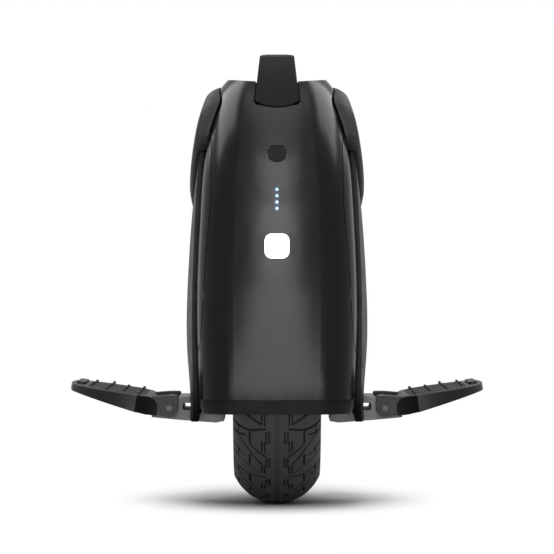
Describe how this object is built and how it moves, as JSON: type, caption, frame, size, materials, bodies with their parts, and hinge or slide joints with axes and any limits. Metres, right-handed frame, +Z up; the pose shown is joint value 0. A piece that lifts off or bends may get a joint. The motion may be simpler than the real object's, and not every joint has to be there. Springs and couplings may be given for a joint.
{
  "type": "electric unicycle",
  "caption": "Electric unicycle: motor wheel in a black moulded body, folding cast pedals, padded sides, carry handle, power button and capped charge port.",
  "frame": {"origin": "on the ground, below the centre of the wheel", "axes": "+Z up, +X along the axle to the right as seen in the picture, the front with the button looks along -Y"},
  "size_m": [0.4108, 0.4108, 0.447],
  "materials": {
    "tyre": "moulded rubber",
    "tube": "matt",
    "valve": "bare",
    "rim": "black satin cast",
    "motor_cover": "black satin cast",
    "rotor": "turned",
    "magnet": "plated",
    "stator": "laminated",
    "winding": "lacquered wire",
    "carrier": "cast",
    "steel": "bright",
    "black_steel": "black oxide",
    "shell": "fine satin",
    "side_cover": "fine grain",
    "inner_plastic": "matt",
    "pad": "soft matt foam",
    "handle": "soft satin",
    "button": "white, back-lit",
    "light": "clear",
    "cap": "matt",
    "socket": "glossy",
    "board": "solder mask",
    "part_body": "matt",
    "can": "sleeved",
    "sink": "extruded",
    "cell": "shrink sleeve",
    "lens": "clear red",
    "hanger": "black satin cast",
    "pedal": "black satin cast",
    "mat": "grit"
  },
  "bodies": {
    "chassis": {"bearing_inner_rings": "steel", "stator_core": "stator", "stator_windings": "winding", "stator_carrier": "carrier", "axle": "steel", "axle_nuts": "steel", "wheel_well": "inner_plastic", "front_cover": "shell", "rear_cover": "shell", "left_side_shell": "shell", "right_side_shell": "shell", "left_side_cover": "side_cover", "right_side_cover": "side_cover", "side_cover_screws": "black_steel", "left_leg_pad": "pad", "right_leg_pad": "pad", "handle": "handle", "handle_bolts": "black_steel", "hand_well_tray": "inner_plastic", "charge_cap_pin": "steel", "charge_socket": "socket", "power_switch": "part_body", "indicator_lights": "light", "control_board": "board", "heat_sink": "sink", "controller_board": "board", "capacitors": "can", "rear_lamp_lens": "lens", "rear_lamp_board": "board", "hanger_bolts": "black_steel", "pedal_pins": "black_steel", "battery_cells": "cell", "battery_trays": "inner_plastic", "under_trays": "inner_plastic", "left_hanger": "hanger", "right_hanger": "hanger"},
    "wheel": {"tyre": "tyre", "inner_tube": "tube", "valve_stem": "valve", "rim": "rim", "rotor_ring": "rotor", "rotor_magnets": "magnet", "left_motor_cover": "motor_cover", "right_motor_cover": "motor_cover", "motor_cover_screws": "black_steel", "bearing_outer_rings": "steel", "bearing_balls": "steel"},
    "left_pedal_body": {"left_pedal": "pedal", "left_pedal_mat": "mat", "left_pedal_studs": "steel", "left_pedal_magnet": "magnet"},
    "right_pedal_body": {"right_pedal": "pedal", "right_pedal_mat": "mat", "right_pedal_studs": "steel", "right_pedal_magnet": "magnet"},
    "button_body": {"power_button": "button"},
    "cap_body": {"charge_port_cap": "cap"}
  },
  "joints": [
    {"name": "wheel_spin", "type": "hinge", "parent": "chassis", "child": "wheel", "pos_m": [0, 0, 0.178], "axis": [1, 0, 0], "continuous": true},
    {"name": "left_pedal_fold", "type": "hinge", "parent": "chassis", "child": "left_pedal_body", "pos_m": [-0.106, 0, 0.0975], "axis": [0, 1, 0], "range_deg": [0, 78]},
    {"name": "right_pedal_fold", "type": "hinge", "parent": "chassis", "child": "right_pedal_body", "pos_m": [0.106, 0, 0.0975], "axis": [0, -1, 0], "range_deg": [0, 78]},
    {"name": "button_press", "type": "slide", "parent": "chassis", "child": "button_body", "axis": [0, 1, 0], "range_m": [0, 0.0012], "stiffness_N_per_m": 600, "springref_m": -0.0005},
    {"name": "charge_cap_swing", "type": "hinge", "parent": "chassis", "child": "cap_body", "pos_m": [0, -0.17707, 0.34951], "axis": [-1, 0, 0], "range_deg": [0, 92]}
  ]
}
